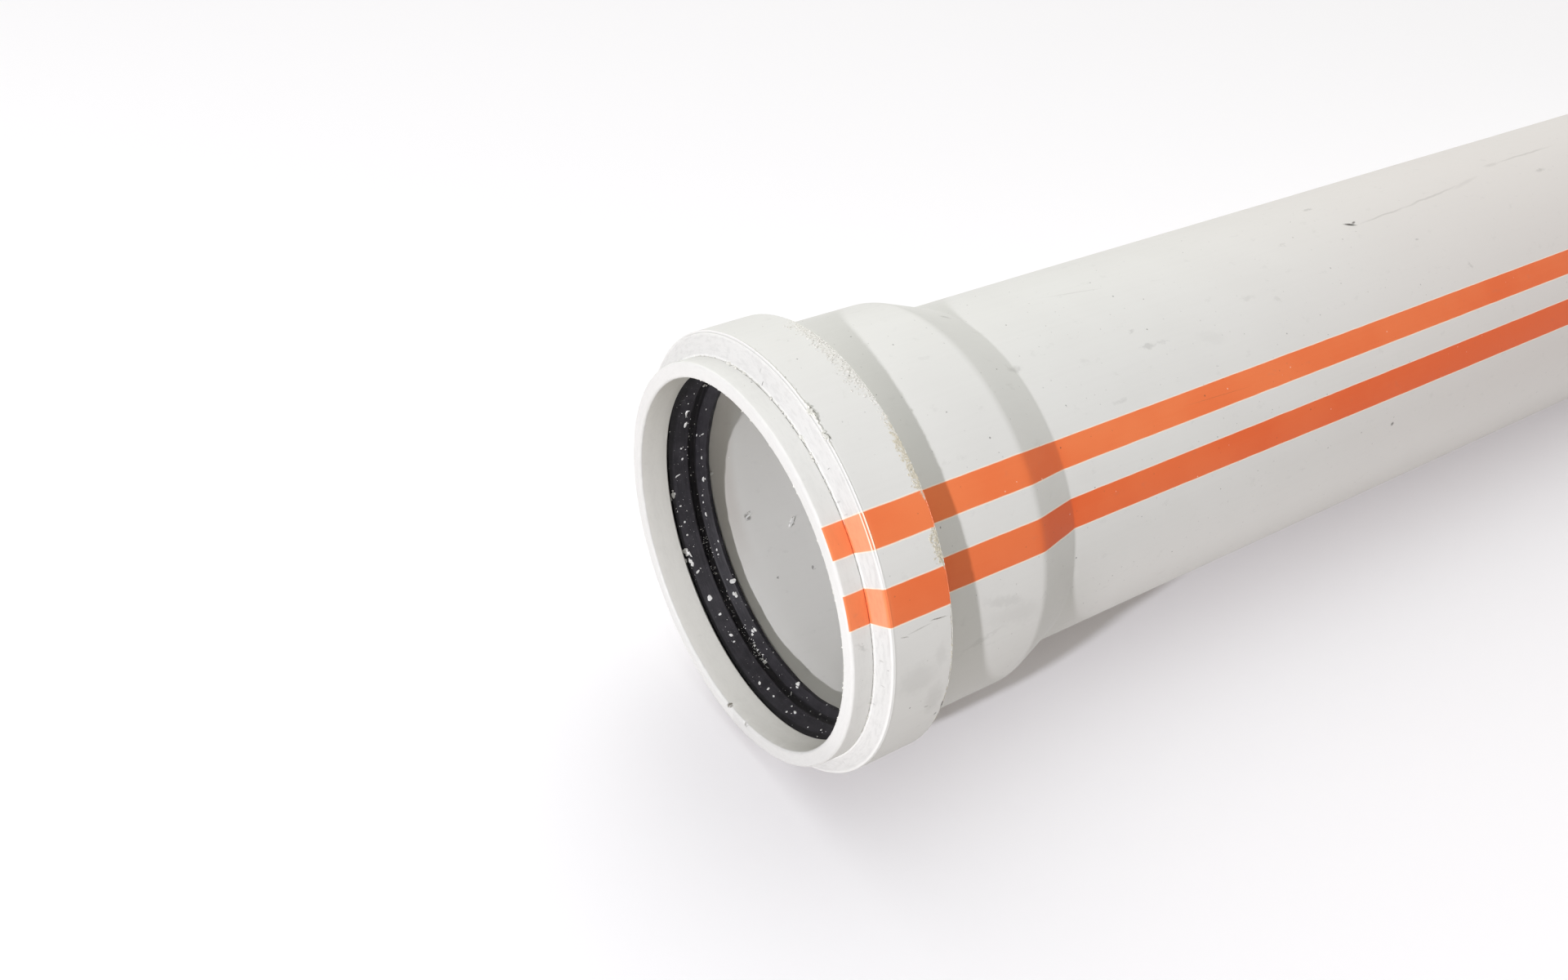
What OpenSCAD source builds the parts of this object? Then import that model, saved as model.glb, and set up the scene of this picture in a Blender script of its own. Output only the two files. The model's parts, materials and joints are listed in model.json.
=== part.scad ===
// PVC drain pipe with a belled push-fit socket and its rubber seal ring.
//
// The wall is one revolved section: an outline drawn along the outside, the
// plain end's chamfer, and an outline drawn back along the inside. Each corner
// of an outline carries its own fillet. All stations along the pipe are
// measured from the rim of the mouth towards the plain end, and all heights
// are radii from the pipe's own centre line.
//
// The pipe lies as it would on a level floor, resting on the rear edge of its
// ring housing and on the plain end. +X runs from the mouth to the plain end,
// +Z is up, and the origin is on the floor under the middle of the pipe.

/* [Barrel] */
// Outside diameter of the barrel, which is also the plain end's
barrel_d = 75; // [63:0.5:110]
// Wall thickness of the barrel
barrel_wall = 3.2; // [1.8:0.1:5]
// Laying length: the pipe without the depth of its socket
laying_length = 500; // [150:10:3000]
// Length of the chamfer on the plain end
chamfer_length = 4; // [1:0.5:8]
// Angle between that chamfer and the pipe's surface
chamfer_angle = 15; // [5:1:20]

/* [Socket] */
// Gap all round between the mouth and the pipe pushed into it
mouth_clearance = 0.3; // [0.1:0.05:1]
// Gap all round between the sleeve and the pipe pushed into it
sleeve_clearance = 0.75; // [0.2:0.05:1.5]
// Wall thickness of the socket, thinned a little when it is belled
socket_wall = 3.1; // [1.8:0.1:5]
// Depth of the sleeve from the rim, which is how far the other pipe goes in
socket_depth = 43; // [36:0.5:90]
// Length of the taper between the sleeve and the barrel
taper_length = 10.8; // [8:0.2:30]
// Inner radius of the bend at each end of the taper
taper_bend = 2.5; // [1:0.5:6]
// Rounding of the rim, inside and outside
rim_round = 0.6; // [0.2:0.1:1]

/* [Ring housing] */
// Length of the neck between the rim and the housing
neck_length = 4.5; // [3:0.25:8]
// Height of the housing's front shoulder above the neck
housing_height = 4; // [2.5:0.25:6]
// Distance from the foot of the front shoulder to the rear edge
housing_length = 14; // [12:0.5:24]
// Lean of the front shoulder from square
front_lean = 18; // [5:1:25]
// Lean of the rear step from square
rear_lean = 12; // [5:1:30]
// Wall thickness round the seal ring's groove
groove_wall = 2.9; // [1.8:0.1:3.5]
// Rounding of the shoulder's outer edge
shoulder_round = 0.8; // [0.3:0.1:1.5]
// Rounding of the rear edge
rear_round = 0.3; // [0.1:0.05:0.8]
// Rounding inside the groove
groove_round = 0.8; // [0.3:0.1:1.2]

/* [Seal ring] */
// Bite of the sealing lip into the pipe pushed through it
lip_bite = 1.1; // [0.4:0.1:2]
// Bite of the wiper in front of the lip
wiper_bite = 0.4; // [0.2:0.1:1]
// Height of the ring's front edge above the mouth's surface
front_step = 1.1; // [0.6:0.1:2]
// Distance from the ring's front edge to the crest of the wiper
wiper_reach = 4.1; // [3:0.1:5]
// Depth of the valley behind the wiper, below its crest
valley_depth = 1.3; // [0.6:0.1:2]
// Width of the valley's floor
valley_width = 1.5; // [0.5:0.1:3]
// Width of the flat on the lip's crest
lip_land = 0.8; // [0.5:0.1:1.5]
// Setback of that flat from the ring's rear face
lip_setback = 0.7; // [0.5:0.1:1.5]
// Rounding of the corners of the rubber
rubber_round = 0.25; // [0.1:0.05:0.4]
// Gap between the rubber and each side wall of the groove
side_gap = 0.4; // [0.1:0.05:0.6]

/* [Hidden] */

// Flats round a full turn, and the turn of one flat along a fillet
turn_flats = 240;
fillet_step = 9;

// Radii of the wall, from the bore outwards
barrel_r = barrel_d / 2;
bore_r = barrel_r - barrel_wall;
end_r = barrel_r - chamfer_length * tan(chamfer_angle);
mouth_r = barrel_r + mouth_clearance;
neck_r = mouth_r + socket_wall;
sleeve_bore_r = barrel_r + sleeve_clearance;
sleeve_r = sleeve_bore_r + socket_wall;
housing_r = neck_r + housing_height;
groove_r = housing_r - groove_wall;

// Stations along the wall
housing_rear = neck_length + housing_length;
taper_end = socket_depth + taper_length;
total_length = socket_depth + laying_length;
chamfer_start = total_length - chamfer_length;

// Station at radius r of the housing's outer faces, and of the groove's side
// walls, which follow them one wall thickness further in
function shoulder_at(r) = neck_length + (r - neck_r) * tan(front_lean);
function rear_at(r) = housing_rear + (housing_r - r) * tan(rear_lean);
function groove_front_at(r) = shoulder_at(r) + groove_wall / cos(front_lean);
function groove_rear_at(r) = rear_at(r) - groove_wall / cos(rear_lean);

// The corners of the taper's inside lie nearer the mouth than those of its
// outside, by as much as a wall of even thickness needs at a bend of this slope
taper_slope = atan((sleeve_r - barrel_r) / taper_length);
bore_taper_start = socket_depth - socket_wall * tan(taper_slope / 2);
bore_taper_end = taper_end - barrel_wall * tan(taper_slope / 2);

// Seal ring: it fills the groove's floor and stands clear of its side walls
lip_r = barrel_r - lip_bite;
wiper_r = barrel_r - wiper_bite;
valley_r = wiper_r + valley_depth;
ring_front_r = mouth_r + front_step;
ring_front = groove_front_at(ring_front_r) + side_gap;
wiper_at = ring_front + wiper_reach;
lip_at = groove_rear_at(sleeve_bore_r) - side_gap - lip_setback;

// Lean of the whole pipe as it lies: the housing is fatter than the barrel
rest_lean = atan((housing_r - barrel_r) / (chamfer_start - housing_rear));
rest_lift = housing_rear * sin(rest_lean) + housing_r * cos(rest_lean);
rim_x = -(neck_r - rim_round) * sin(rest_lean);
plain_x = total_length * cos(rest_lean) + end_r * sin(rest_lean);
middle_x = (rim_x + plain_x) / 2;

// Unit vector along v
function unit(v) = v / norm(v);

// Angle a brought between -180 and 180
function half_turn(a) = a - 360 * floor((a + 180) / 360);

// Points of the corner at b, between neighbours a and c, rounded to radius.
// The fillet's centre is on the corner's bisector, and the arc runs between
// its two points of contact. A radius of zero keeps the corner.
function corner(a, b, c, radius) =
    let (
        to_a = unit(a - b),
        to_c = unit(c - b),
        half = acos(to_a * to_c) / 2,
        centre = b + unit(to_a + to_c) * radius / sin(half),
        first = b + to_a * radius / tan(half) - centre,
        last = b + to_c * radius / tan(half) - centre,
        from = atan2(first[1], first[0]),
        sweep = half_turn(atan2(last[1], last[0]) - from),
        steps = max(2, ceil(abs(sweep) / fillet_step))
    )
    radius == 0
        ? [b]
        : [for (i = [0 : steps])
            centre + radius * [cos(from + sweep * i / steps), sin(from + sweep * i / steps)]];

// A closed outline from corners [radius from the axis, station, fillet]
function rounded(corners) =
    let (
        n = len(corners),
        at = [for (p = corners) [p[0], p[1]]]
    )
    [for (i = [0 : n - 1])
        each corner(at[(i + n - 1) % n], at[i], at[(i + 1) % n], corners[i][2])];

// Outside of the wall, from the rim to the start of the chamfer
outside = [
    [neck_r, 0, rim_round],
    [neck_r, neck_length, 0],
    [housing_r, shoulder_at(housing_r), shoulder_round],
    [housing_r, housing_rear, rear_round],
    [sleeve_r, rear_at(sleeve_r), rear_round],
    [sleeve_r, socket_depth, taper_bend + socket_wall],
    [barrel_r, taper_end, taper_bend],
    [barrel_r, chamfer_start, 0],
];

// Inside of the wall, from the plain end back to the rim
inside = [
    [end_r, total_length, 0],
    [bore_r, total_length, 0],
    [bore_r, bore_taper_end, taper_bend + barrel_wall],
    [sleeve_bore_r, bore_taper_start, taper_bend],
    [sleeve_bore_r, groove_rear_at(sleeve_bore_r), rear_round],
    [groove_r, groove_rear_at(groove_r), groove_round],
    [groove_r, groove_front_at(groove_r), groove_round],
    [mouth_r, groove_front_at(mouth_r), rear_round],
    [mouth_r, 0, rim_round],
];

// Section of the rubber, from its back round the wiper, valley and lip
rubber = [
    [groove_r, groove_rear_at(groove_r) - side_gap, groove_round],
    [groove_r, groove_front_at(groove_r) + side_gap, groove_round],
    [ring_front_r, ring_front, rubber_round],
    [wiper_r, wiper_at, rubber_round],
    [valley_r, wiper_at + valley_depth / 2, rubber_round],
    [valley_r, wiper_at + valley_depth / 2 + valley_width, rubber_round],
    [lip_r, lip_at - lip_land, 0],
    [lip_r, lip_at, 0],
    [sleeve_bore_r, groove_rear_at(sleeve_bore_r) - side_gap, rubber_round],
];

// Turns a section about the pipe's own centre line and lays it on the floor
module laid(section) {
    translate([-middle_x, 0, rest_lift])
        rotate([0, 90 + rest_lean, 0])
            rotate_extrude($fn = turn_flats)
                polygon(section);
}

module pipe() {
    color([0.87, 0.87, 0.85])
        laid(rounded(concat(outside, inside)));
}

module seal_ring() {
    color([0.13, 0.12, 0.13])
        laid(rounded(rubber));
}

pipe();
seal_ring();
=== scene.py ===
# %% [markdown]
# # A drain pipe with a push-fit socket
#
# A length of light grey PVC drain pipe. One end is widened into a socket: a rim, a
# short neck, a fat housing that holds a black rubber ring, a sleeve for the next pipe,
# and a taper down to the barrel. Two orange stripes run along one side. It is new but
# handled, with scuffs, specks of dirt, ragged edges and white crumbs on its rubber.
#
# Nearly everything on it is turned about one line, so nearly every surface here is
# a section carried round that line, worked out with numpy as one array of points.

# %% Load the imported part
import json
import math

import bpy
import numpy as np
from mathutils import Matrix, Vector


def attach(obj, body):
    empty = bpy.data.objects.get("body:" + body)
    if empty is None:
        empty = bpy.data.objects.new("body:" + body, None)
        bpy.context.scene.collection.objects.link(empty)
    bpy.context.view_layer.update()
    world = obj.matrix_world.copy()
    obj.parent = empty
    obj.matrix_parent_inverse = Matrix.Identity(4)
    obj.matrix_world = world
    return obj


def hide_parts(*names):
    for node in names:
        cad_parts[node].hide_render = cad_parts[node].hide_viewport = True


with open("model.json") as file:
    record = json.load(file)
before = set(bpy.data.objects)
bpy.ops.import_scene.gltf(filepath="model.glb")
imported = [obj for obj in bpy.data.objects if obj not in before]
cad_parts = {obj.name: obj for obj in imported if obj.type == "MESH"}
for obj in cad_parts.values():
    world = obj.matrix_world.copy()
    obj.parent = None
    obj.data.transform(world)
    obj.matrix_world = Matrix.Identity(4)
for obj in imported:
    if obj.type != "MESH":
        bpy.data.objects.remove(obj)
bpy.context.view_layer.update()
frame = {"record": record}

# %% [markdown]
# ## Where the pipe lies
#
# Three numbers place a point on a pipe: how far along it, how far from its centre
# line, and at which angle round it. The part's own mounts give the centre line, which
# leans a little because the housing is fatter than the barrel. All lengths below are
# millimetres and all angles degrees, from the pipe's own top towards the stripes.
#
# The neck of this pipe has sagged: it hangs most of a millimetre low, and the housing
# behind it less and less. Every point is placed by one function, so the sag is there.

# %% The pipe's own directions and driving sizes
MM = 0.001
mounts = {mount["name"]: mount for mount in frame["record"]["mounts"]}


def unit(vector):
    """The vector divided by its length."""
    vector = np.asarray(vector, float)
    return vector / np.linalg.norm(vector)


along = unit(mounts["plain_end"]["axis"])
towards_stripes = np.array([0.0, -1.0, 0.0])
own_up = np.cross(towards_stripes, along)
lean = math.degrees(math.atan2(own_up[0], own_up[2]))

barrel_r = mounts["plain_end"]["dims"]["r_mm"]
bore_r = mounts["pipe_bore"]["dims"]["r_mm"]
mouth_r = mounts["socket_mouth"]["dims"]["r_mm"]
lip_r = mounts["seal_lip"]["dims"]["r_mm"]

socket_wall = 3.1
barrel_wall = 3.2
sleeve_clearance = 0.75
laying_length = 500.0
socket_depth = 43.0
taper_length = 10.8
neck_length = 4.5
housing_height = 4.0
housing_length = 14.0
groove_wall = 2.9
front_lean = 18.0
rear_lean = 12.0
chamfer_length = 4.0
chamfer_angle = 15.0
neck_r = mouth_r + socket_wall
housing_r = neck_r + housing_height

SAG = 0.75
SAG_AT_HOUSING = 0.2
sag_stations = [neck_length, 17.0]
sag_radii = [neck_r, housing_r]

total_length = socket_depth + laying_length
plain_face = np.array(mounts["end_face"]["pos_m"])
axis_point = np.array(mounts["plain_end"]["pos_m"])
mouth = axis_point + along * ((plain_face - axis_point) @ along - total_length * MM)
print("mouth at", mouth.round(5), "lean", round(lean, 3), "degrees")


def place(station, radius, angle):
    """World points: mouth + station along the line + radius times (up cos angle + side sin angle).

    The neck's centre lies SAG below the line. That fades to nothing along the housing,
    and to SAG_AT_HOUSING of it from the neck's surface out to the housing's.
    """
    turn = np.radians(np.asarray(angle, float))[..., None]
    outwards = own_up * np.cos(turn) + towards_stripes * np.sin(turn)
    station = np.asarray(station, float)[..., None]
    radius = np.asarray(radius, float)[..., None]
    sag = SAG * np.interp(station, sag_stations, [1, 0]) * np.interp(radius, sag_radii, [1, SAG_AT_HOUSING])
    return mouth + MM * (along * station + outwards * radius - own_up * sag)


# %% [markdown]
# ## Sections with rounded corners
#
# A moulder draws a section as a few corners and a radius for each. The same is
# done here: every corner is (radius, station, fillet, arc, run). The fillet's arc
# touches both sides of the corner and has arc pieces, and the straight run after it
# has run pieces, so points are spent only where relief needs them.

# %% From corners to an outline


def outline(corners):
    """A closed outline as rows of (station, radius), and the number of the corner each belongs to.

    An arc's centre lies on the corner's bisector at fillet / sin(half the corner's
    angle), and the arc runs between its two points of contact.
    """
    at = np.array([(corner[1], corner[0]) for corner in corners])
    arcs = []
    for i, (_, _, fillet, pieces, _) in enumerate(corners):
        here = at[i]
        to_last, to_next = unit(at[i - 1] - here), unit(at[(i + 1) % len(at)] - here)
        if fillet == 0:
            arcs.append(here[None])
            continue
        half = math.acos(np.clip(to_last @ to_next, -1, 1)) / 2
        centre = here + unit(to_last + to_next) * fillet / math.sin(half)
        first = here + to_last * fillet / math.tan(half) - centre
        last = here + to_next * fillet / math.tan(half) - centre
        start = math.atan2(first[1], first[0])
        sweep = (math.atan2(last[1], last[0]) - start + math.pi) % (2 * math.pi) - math.pi
        angles = start + sweep * np.linspace(0, 1, pieces + 1)
        arcs.append(centre + fillet * np.stack([np.cos(angles), np.sin(angles)], -1))
    points, owners = [], []
    for i, arc in enumerate(arcs):
        run = np.linspace(arc[-1], arcs[(i + 1) % len(arcs)][0], corners[i][4] + 1)[1:-1]
        points += [arc, run]
        owners += [i] * (len(arc) + len(run))
    return np.concatenate(points), np.array(owners)


def outward_normals(points):
    """Unit normals of a closed outline: its direction turned by a quarter, away from the enclosed area.

    The area's sign, from the sum of cross products of neighbours, tells which way is out.
    """
    after = np.roll(points, -1, 0)
    direction = after - np.roll(points, 1, 0)
    direction /= np.linalg.norm(direction, axis=1)[:, None]
    area = np.sum(points[:, 0] * after[:, 1] - points[:, 1] * after[:, 0])
    return np.sign(area) * np.stack([direction[:, 1], -direction[:, 0]], -1)


# %% [markdown]
# ## Surfaces from arrays
#
# A mesh is only points and the quads between them. When the points sit on a grid of
# rows and columns, the quads follow from the row and column numbers alone, so the
# whole mesh is made from arrays in a few lines, however fine it is.

# %% From a grid of points to a mesh


def grid_quads(rows, columns, rows_close, columns_close):
    """Corner numbers of every quad between neighbouring rows and columns, wrapping round where it closes."""
    row = np.arange(rows if rows_close else rows - 1)[:, None]
    column = np.arange(columns if columns_close else columns - 1)[None]
    next_row, next_column = (row + 1) % rows, (column + 1) % columns
    corners = [row * columns + column, next_row * columns + column,
               next_row * columns + next_column, row * columns + next_column]
    return np.stack(np.broadcast_arrays(*corners), -1).reshape(-1, 4)


def volume_mm3(points, quads):
    """Volume inside a closed mesh: a sixth of the sum of each triangle's triple product."""
    a, b, c, d = (points[quads[:, i]] for i in range(4))
    triple = np.einsum("ij,ij->i", a, np.cross(b, c)) + np.einsum("ij,ij->i", a, np.cross(c, d))
    return triple.sum() / 6 * 1e9


def build_mesh(name, points, quads, sharp=35.0, closed=True):
    """A smooth shaded object at the origin from an array of points and one of quads.

    A closed mesh whose volume comes out negative is inside out, so its quads are reversed.
    """
    if closed:
        volume = volume_mm3(points, quads)
        print(f"{name}: {2 * len(quads)} triangles, {abs(volume):.2f} mm3")
        quads = quads[:, ::-1] if volume < 0 else quads
    mesh = bpy.data.meshes.new(name)
    mesh.vertices.add(len(points))
    mesh.vertices.foreach_set("co", np.asarray(points, np.float32).ravel())
    mesh.loops.add(quads.size)
    mesh.loops.foreach_set("vertex_index", quads.astype(np.int32).ravel())
    mesh.polygons.add(len(quads))
    mesh.polygons.foreach_set("loop_start", np.arange(0, quads.size, 4, dtype=np.int32))
    mesh.update(calc_edges=True)
    mesh.validate()
    mesh.polygons.foreach_set("use_smooth", np.ones(len(quads), bool))
    mesh.set_sharp_from_angle(angle=math.radians(sharp))
    piece = bpy.data.objects.new(name, mesh)
    bpy.context.scene.collection.objects.link(piece)
    return piece


def ripple(angle, station, seed, waves, length, count=10):
    """A smooth random height between about -1 and 1 that closes round the pipe.

    It is a sum of count cosines. Each has a whole number of waves round the pipe,
    between the two in waves, and a wavelength along it of at least length.
    """
    random = np.random.default_rng(seed)
    height = 0.0
    for _ in range(count):
        turns = random.integers(waves[0], waves[1] + 1)
        drift = random.uniform(-1, 1) / length
        height = height + np.cos(np.radians(turns * angle) + 2 * np.pi * (drift * station + random.random()))
    return height / math.sqrt(count)


# %% [markdown]
# ## The wall of the pipe
#
# The real wall is one tube. Its end was heated, widened over a mandrel and cut to
# length, so each change of size is a rounded step on the outside and the same step,
# one wall thickness further in, on the inside. One closed section carried round the
# centre line gives all of it, watertight, with the true thickness at the rim.
#
# Real edges are not perfect: the foot of the shoulder is a fine groove, the housing's
# edge has two thin beads where the mandrel's parts met, its rear edge is ragged, and
# the rim is nicked. These are a few hundredths of a millimetre high, and come and go
# with the angle.

# %% Section of the wall


def tangent(degrees):
    """Tangent of an angle in degrees."""
    return math.tan(math.radians(degrees))


sleeve_bore_r = barrel_r + sleeve_clearance
sleeve_r = sleeve_bore_r + socket_wall
groove_r = housing_r - groove_wall
housing_rear = neck_length + housing_length
taper_end = socket_depth + taper_length
slope = math.degrees(math.atan((sleeve_r - barrel_r) / taper_length))


def shoulder_at(radius):
    """Station of the housing's front shoulder at a radius."""
    return neck_length + (radius - neck_r) * tangent(front_lean)


def rear_at(radius):
    """Station of the housing's rear step at a radius."""
    return housing_rear + (housing_r - radius) * tangent(rear_lean)


def groove_front_at(radius):
    """Station of the groove's front wall, one wall thickness behind the shoulder."""
    return shoulder_at(radius) + groove_wall / math.cos(math.radians(front_lean))


def groove_rear_at(radius):
    """Station of the groove's rear wall, one wall thickness before the rear step."""
    return rear_at(radius) - groove_wall / math.cos(math.radians(rear_lean))


# The shoulder's outer corner is a bevel between two beads, at radius bend_r and station edge_at
bend_r = housing_r - 0.48
bend_at = shoulder_at(bend_r)
edge_at = neck_length + 1.58
chamfer_start = total_length - chamfer_length
outside = [
    (neck_r, 0, 0.6, 7, 3),
    (neck_r, neck_length - 0.45, 0, 0, 9),
    (neck_r, neck_length, 0, 0, 8),
    (neck_r + 0.45, shoulder_at(neck_r + 0.45), 0, 0, 3),
    (bend_r - 0.3, shoulder_at(bend_r - 0.3), 0, 0, 4),
    (bend_r, bend_at, 0.12, 2, 8),
    (housing_r, edge_at, 0.12, 2, 5),
    (housing_r, edge_at + 0.5, 0, 0, 4),
    (housing_r, housing_rear - 0.9, 0, 0, 5),
    (housing_r, housing_rear, 0.3, 6, 2),
    (sleeve_r, rear_at(sleeve_r), 0.3, 4, 3),
    (sleeve_r, socket_depth, 5.6, 5, 2),
    (barrel_r, taper_end, 2.5, 5, 12),
    (barrel_r, chamfer_start, 0, 0, 2),
]
inside = [
    (barrel_r - chamfer_length * tangent(chamfer_angle), total_length, 0.1, 3, 2),
    (bore_r, total_length, 0.1, 3, 9),
    (bore_r, taper_end - barrel_wall * tangent(slope / 2), 5.7, 4, 1),
    (sleeve_bore_r, socket_depth - socket_wall * tangent(slope / 2), 2.5, 4, 3),
    (sleeve_bore_r, groove_rear_at(sleeve_bore_r), 0.3, 4, 1),
    (groove_r, groove_rear_at(groove_r), 0.8, 4, 1),
    (groove_r, groove_front_at(groove_r), 0.8, 4, 1),
    (mouth_r, groove_front_at(mouth_r), 0.3, 4, 3),
    (mouth_r, 0, 0.6, 7, 3),
]
wall_points, wall_corner = outline(outside + inside)
wall_is_outer = wall_corner < len(outside)
print(len(wall_points), "points in the wall's section")

# %% [markdown]
# The relief is a list of ridges that run round the pipe. Each has a place on the
# section, a half width, and a height that may change with the angle. A ridge whose
# height is below zero is a groove.

# %% Relief and mesh of the wall
ROUND = 600
OUT_OF_ROUND = 0.04
angle = (np.arange(ROUND) * 360.0 / ROUND - 180.0)[None]


def ridges(section, rows):
    """The height of several ridges together, each (station, radius, half width, height).

    One ridge is height times exp(-(distance / half width) squared), with the distance
    measured in the section.
    """
    total = 0.0
    for at_station, at_radius, half_width, height in rows:
        distance = np.hypot(section[:, :1] - at_station, section[:, 1:] - at_radius)
        total = total + np.exp(-((distance / half_width) ** 2)) * height
    return total


def between(value, low, high, soft):
    """1 inside the interval and 0 outside it, with soft ends."""
    return 1 / (1 + np.exp(-(value - low) / soft)) / (1 + np.exp((value - high) / soft))


def raised(section, relief):
    """The section at every angle, moved by its relief along its normals."""
    return section[:, None] + relief[..., None] * outward_normals(section)[:, None]


def turned(name, moved, sharp):
    """The mesh of a section that is carried round the centre line."""
    points = place(moved[..., 0], moved[..., 1], angle).reshape(-1, 3)
    return build_mesh(name, points, grid_quads(len(moved), ROUND, True, True), sharp)


wall_stations = wall_points[:, :1]
beads = between(angle, -75, 60, 2.5)
middle = ((bend_at + edge_at) / 2, (bend_r + housing_r) / 2)
ragged = ripple(angle, wall_stations, 5, (60, 290), 2.0, 40)
nibbled = np.clip(ripple(angle, wall_stations, 6, (15, 200), 3.0, 30) - 0.7, 0, 2)
foot = 0.08 * between(angle, 22, 115, 4) + 0.05 * np.clip(ragged, -0.6, 1.5)
relief = ridges(wall_points, [
    (neck_length - 0.08, neck_r, 0.10, -(0.17 + 0.05 * ragged)),
    (shoulder_at(neck_r + 0.20), neck_r + 0.20, 0.11, foot),
    (bend_at, bend_r, 0.12, 0.06 * beads),
    (*middle, 0.10, -0.09 * beads),
    (*middle, 0.30, 0.15 * (1 - beads)),
    (edge_at, housing_r, 0.12, 0.06 * beads),
    (edge_at + 0.25, housing_r, 0.09, -0.03 * beads),
    (housing_rear, housing_r, 0.25, 0.06 * np.clip(ragged, -1.6, 0.6)),
    (0.1, mouth_r + 0.1, 0.45, -0.16 * nibbled),
    (0.1, neck_r - 0.1, 0.3, -0.06 * nibbled),
])
print("relief of the wall from", relief.min().round(3), "to", relief.max().round(3), "mm")

moved = raised(wall_points, relief)
moved[..., 1] += OUT_OF_ROUND * ripple(angle, wall_stations, 1, (2, 5), 60.0) - OUT_OF_ROUND
pipe_wall = turned("pipe_wall", moved, 35.0)
skin = pipe_wall.data.attributes.new("outer_skin", "FLOAT", "POINT")
is_skin = wall_is_outer & (wall_points[:, 0] > 0.16)
skin.data.foreach_set("value", np.repeat(is_skin, ROUND).astype(np.float32))

# %% [markdown]
# ## The seal ring
#
# The ring is moulded rubber. Its back fills the groove, a sloping wiper meets the
# other pipe first, and behind a valley stands the lip that makes the joint tight.
# It is turned like the wall, but rubber is softer in outline: its corners are
# rounder, and the edge of the lip waves a little, because it was cut from its flash.
# High on the side away from the stripes the lip has gone slack and hangs inwards.

# %% Section and mesh of the seal ring
side_gap = 0.4
wiper_bite = 0.4
front_step = 1.1
wiper_reach = 4.1
valley_depth = 1.3
valley_width = 1.5
lip_land = 0.8
lip_setback = 0.7
LIP_SLACK = 1.5

ring_front_r = mouth_r + front_step
ring_front = groove_front_at(ring_front_r) + side_gap
wiper_r = barrel_r - wiper_bite
wiper_at = ring_front + wiper_reach
valley_r = wiper_r + valley_depth
valley_front = wiper_at + valley_depth / 2
lip_at = groove_rear_at(sleeve_bore_r) - side_gap - lip_setback
ring_points, ring_corner = outline([
    (groove_r, groove_rear_at(groove_r) - side_gap, 0.8, 4, 1),
    (groove_r, groove_front_at(groove_r) + side_gap, 0.8, 4, 2),
    (ring_front_r, ring_front, 0.35, 5, 12),
    (wiper_r, wiper_at, 0.35, 5, 3),
    (valley_r, valley_front, 0.45, 5, 4),
    (valley_r, valley_front + valley_width, 0.45, 5, 6),
    (lip_r, lip_at - lip_land, 0.2, 3, 3),
    (lip_r, lip_at, 0.2, 3, 4),
    (sleeve_bore_r, groove_rear_at(sleeve_bore_r) - side_gap, 0.25, 3, 2),
])

# A seam on the front slope, a crease before the wiper, and the waves of the lip
ring_stations = ring_points[:, :1]
ring_relief = 0.04 * ripple(angle, ring_stations, 21, (3, 14), 12.0) + ridges(ring_points, [
    (ring_front + 1.3, 38.3, 0.12, 0.03),
    (wiper_at - 0.55, wiper_r + 0.24, 0.16, -0.05),
    (lip_at - 0.4, lip_r, 0.5, 0.05 * ripple(angle, ring_stations, 22, (8, 60), 9.0)),
])
moved = raised(ring_points, ring_relief)
slack = between(angle, -84, -32, 14) * np.clip((valley_r - moved[..., 1]) / (valley_r - lip_r), 0, 1)
moved[..., 1] -= LIP_SLACK * slack * (moved[..., 0] > valley_front)
seal_rubber = turned("seal_rubber", moved, 50.0)

# %% [markdown]
# ## Crumbs, flash and grit
#
# Sawing plastic leaves light crumbs that cling to anything near, most of all to
# rubber. There are hundreds, each smaller than a grain of rice, so they are one array
# of little curled flakes: each is five rings of four points, and only its size, curl
# and place differ. One mesh holds all that lie on one surface.

# %% Flakes


def ribbon_quads(rows):
    """Quads of a closed strip: the sides between its rows of four points, and a cap at either end."""
    last = 4 * rows - 1
    caps = [[0, 1, 2, 3], [last, last - 1, last - 2, last - 3]]
    return np.concatenate([grid_quads(rows, 4, False, True), caps])


def flakes(name, station, radius, angle, length, width, thick, curl, spin, inwards):
    """Little curled flakes on a turned surface, as one mesh.

    Each of a flake's five cross-sections is a rectangle, which narrows towards both
    ends and bends up by curl times the squared distance from the middle. Spin turns it.
    """
    n = len(station)
    given = np.broadcast_arrays(station, radius, angle, length, width, thick, curl, spin)
    station, radius, angle, length, width, thick, curl, spin = (row.reshape(n, 1, 1) for row in given)
    steps = np.linspace(-1, 1, 5)[:, None]
    narrow = np.array([0.35, 0.85, 1.0, 0.8, 0.3])[:, None]
    across = np.array([-1, 1, 1, -1])
    height = np.array([-0.3, -0.3, 0.7, 0.7])
    x = 0.5 * length * steps + 0 * across
    y = 0.5 * width * narrow * across
    z = thick * height * narrow + curl * length * steps ** 2
    turn = np.radians(spin)
    sideways = x * np.sin(turn) + y * np.cos(turn)
    forwards = x * np.cos(turn) - y * np.sin(turn)
    lift = -z if inwards else z
    points = place(station + forwards, radius + lift, angle + np.degrees(sideways / radius))
    quads = (ribbon_quads(5)[None] + 20 * np.arange(n)[:, None, None]).reshape(-1, 4)
    return build_mesh(name, points.reshape(-1, 3), quads, sharp=30.0)


# %% [markdown]
# On the rubber there are a few thick clusters, which lie where the other pipe scraped
# them together, single shavings, short fibres, lint in the valley, and a fine dusting
# everywhere.

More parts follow.
